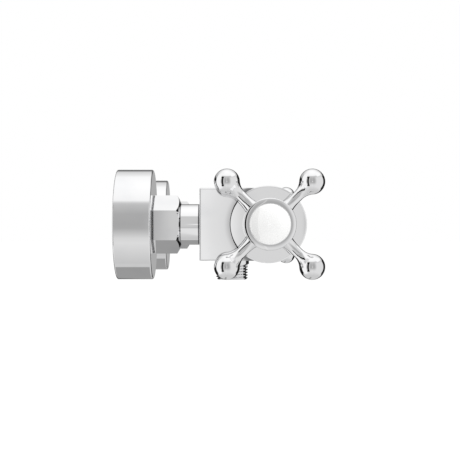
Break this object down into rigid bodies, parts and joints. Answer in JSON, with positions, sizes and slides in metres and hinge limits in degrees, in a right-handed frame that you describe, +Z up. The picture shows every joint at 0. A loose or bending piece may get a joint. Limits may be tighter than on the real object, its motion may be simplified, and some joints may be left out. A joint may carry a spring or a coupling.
{
  "type": "cross handle shower mixer tap",
  "caption": "Exposed wall-mounted shower mixer with ball-tipped cross handles, porcelain caps, deep round wall flanges, hexagon union nuts and a threaded bottom outlet",
  "frame": {"origin": "on the wall, midway between the two wall inlets, at the height of the handles' axis", "axes": "+X along the mixer from the hot to the cold handle, +Y into the wall, +Z up; the mixer stands out from the wall to -Y"},
  "size_m": [0.2992, 0.118, 0.0686],
  "materials": {
    "chrome": "polished chrome plate on brass",
    "porcelain": "white gloss glaze",
    "brass": "machined brass",
    "plated_steel": "zinc plated steel",
    "spring_steel": "stainless spring wire",
    "rubber": "black moulded rubber",
    "valve_plastic": "moulded acetal",
    "disc_ceramic": "lapped alumina"
  },
  "bodies": {
    "mixer": {"mixer_body": "chrome", "outlet_nipple": "chrome", "outlet_seal": "rubber", "hot_wall_plate": "plated_steel", "hot_pipe_olive": "brass", "hot_wall_union": "brass", "hot_wall_flange": "chrome", "hot_union_nut": "chrome", "hot_union_washer": "rubber", "hot_inlet_tail": "chrome", "hot_nut_ring": "spring_steel", "hot_tail_seal": "rubber", "hot_check_cage": "valve_plastic", "hot_check_spring": "spring_steel", "hot_cartridge_body": "brass", "hot_seat_seal": "rubber", "hot_fixed_disc": "disc_ceramic", "hot_end_collar": "chrome", "cold_wall_plate": "plated_steel", "cold_pipe_olive": "brass", "cold_wall_union": "brass", "cold_wall_flange": "chrome", "cold_union_nut": "chrome", "cold_union_washer": "rubber", "cold_inlet_tail": "chrome", "cold_nut_ring": "spring_steel", "cold_tail_seal": "rubber", "cold_check_cage": "valve_plastic", "cold_check_spring": "spring_steel", "cold_cartridge_body": "brass", "cold_seat_seal": "rubber", "cold_fixed_disc": "disc_ceramic", "cold_end_collar": "chrome"},
    "hot_handle": {"hot_moving_disc": "disc_ceramic", "hot_spindle": "brass", "hot_spindle_seals": "rubber", "hot_spindle_clip": "spring_steel", "hot_handle_hub": "chrome", "hot_handle_arm_1": "chrome", "hot_handle_arm_2": "chrome", "hot_handle_arm_3": "chrome", "hot_handle_arm_4": "chrome", "hot_handle_screw": "plated_steel", "hot_cap_carrier": "valve_plastic", "hot_index_cap": "porcelain"},
    "hot_poppet": {"hot_check_poppet": "valve_plastic"},
    "cold_handle": {"cold_moving_disc": "disc_ceramic", "cold_spindle": "brass", "cold_spindle_seals": "rubber", "cold_spindle_clip": "spring_steel", "cold_handle_hub": "chrome", "cold_handle_arm_1": "chrome", "cold_handle_arm_2": "chrome", "cold_handle_arm_3": "chrome", "cold_handle_arm_4": "chrome", "cold_handle_screw": "plated_steel", "cold_cap_carrier": "valve_plastic", "cold_index_cap": "porcelain"},
    "cold_poppet": {"cold_check_poppet": "valve_plastic"}
  },
  "joints": [
    {"name": "hot_handle_turn", "type": "hinge", "parent": "mixer", "child": "hot_handle", "pos_m": [-0.136, -0.088, 0], "axis": [-1, 0, 0], "range_deg": [0, 90]},
    {"name": "hot_check_valve_lift", "type": "slide", "parent": "mixer", "child": "hot_poppet", "axis": [0, -1, 0], "range_m": [0, 0.0025], "stiffness_N_per_m": 60, "springref_m": -0.004, "deforming": ["hot_check_spring"]},
    {"name": "cold_handle_turn", "type": "hinge", "parent": "mixer", "child": "cold_handle", "pos_m": [0.136, -0.088, 0], "axis": [-1, 0, 0], "range_deg": [0, 90]},
    {"name": "cold_check_valve_lift", "type": "slide", "parent": "mixer", "child": "cold_poppet", "axis": [0, -1, 0], "range_m": [0, 0.0025], "stiffness_N_per_m": 60, "springref_m": -0.004, "deforming": ["cold_check_spring"]}
  ]
}
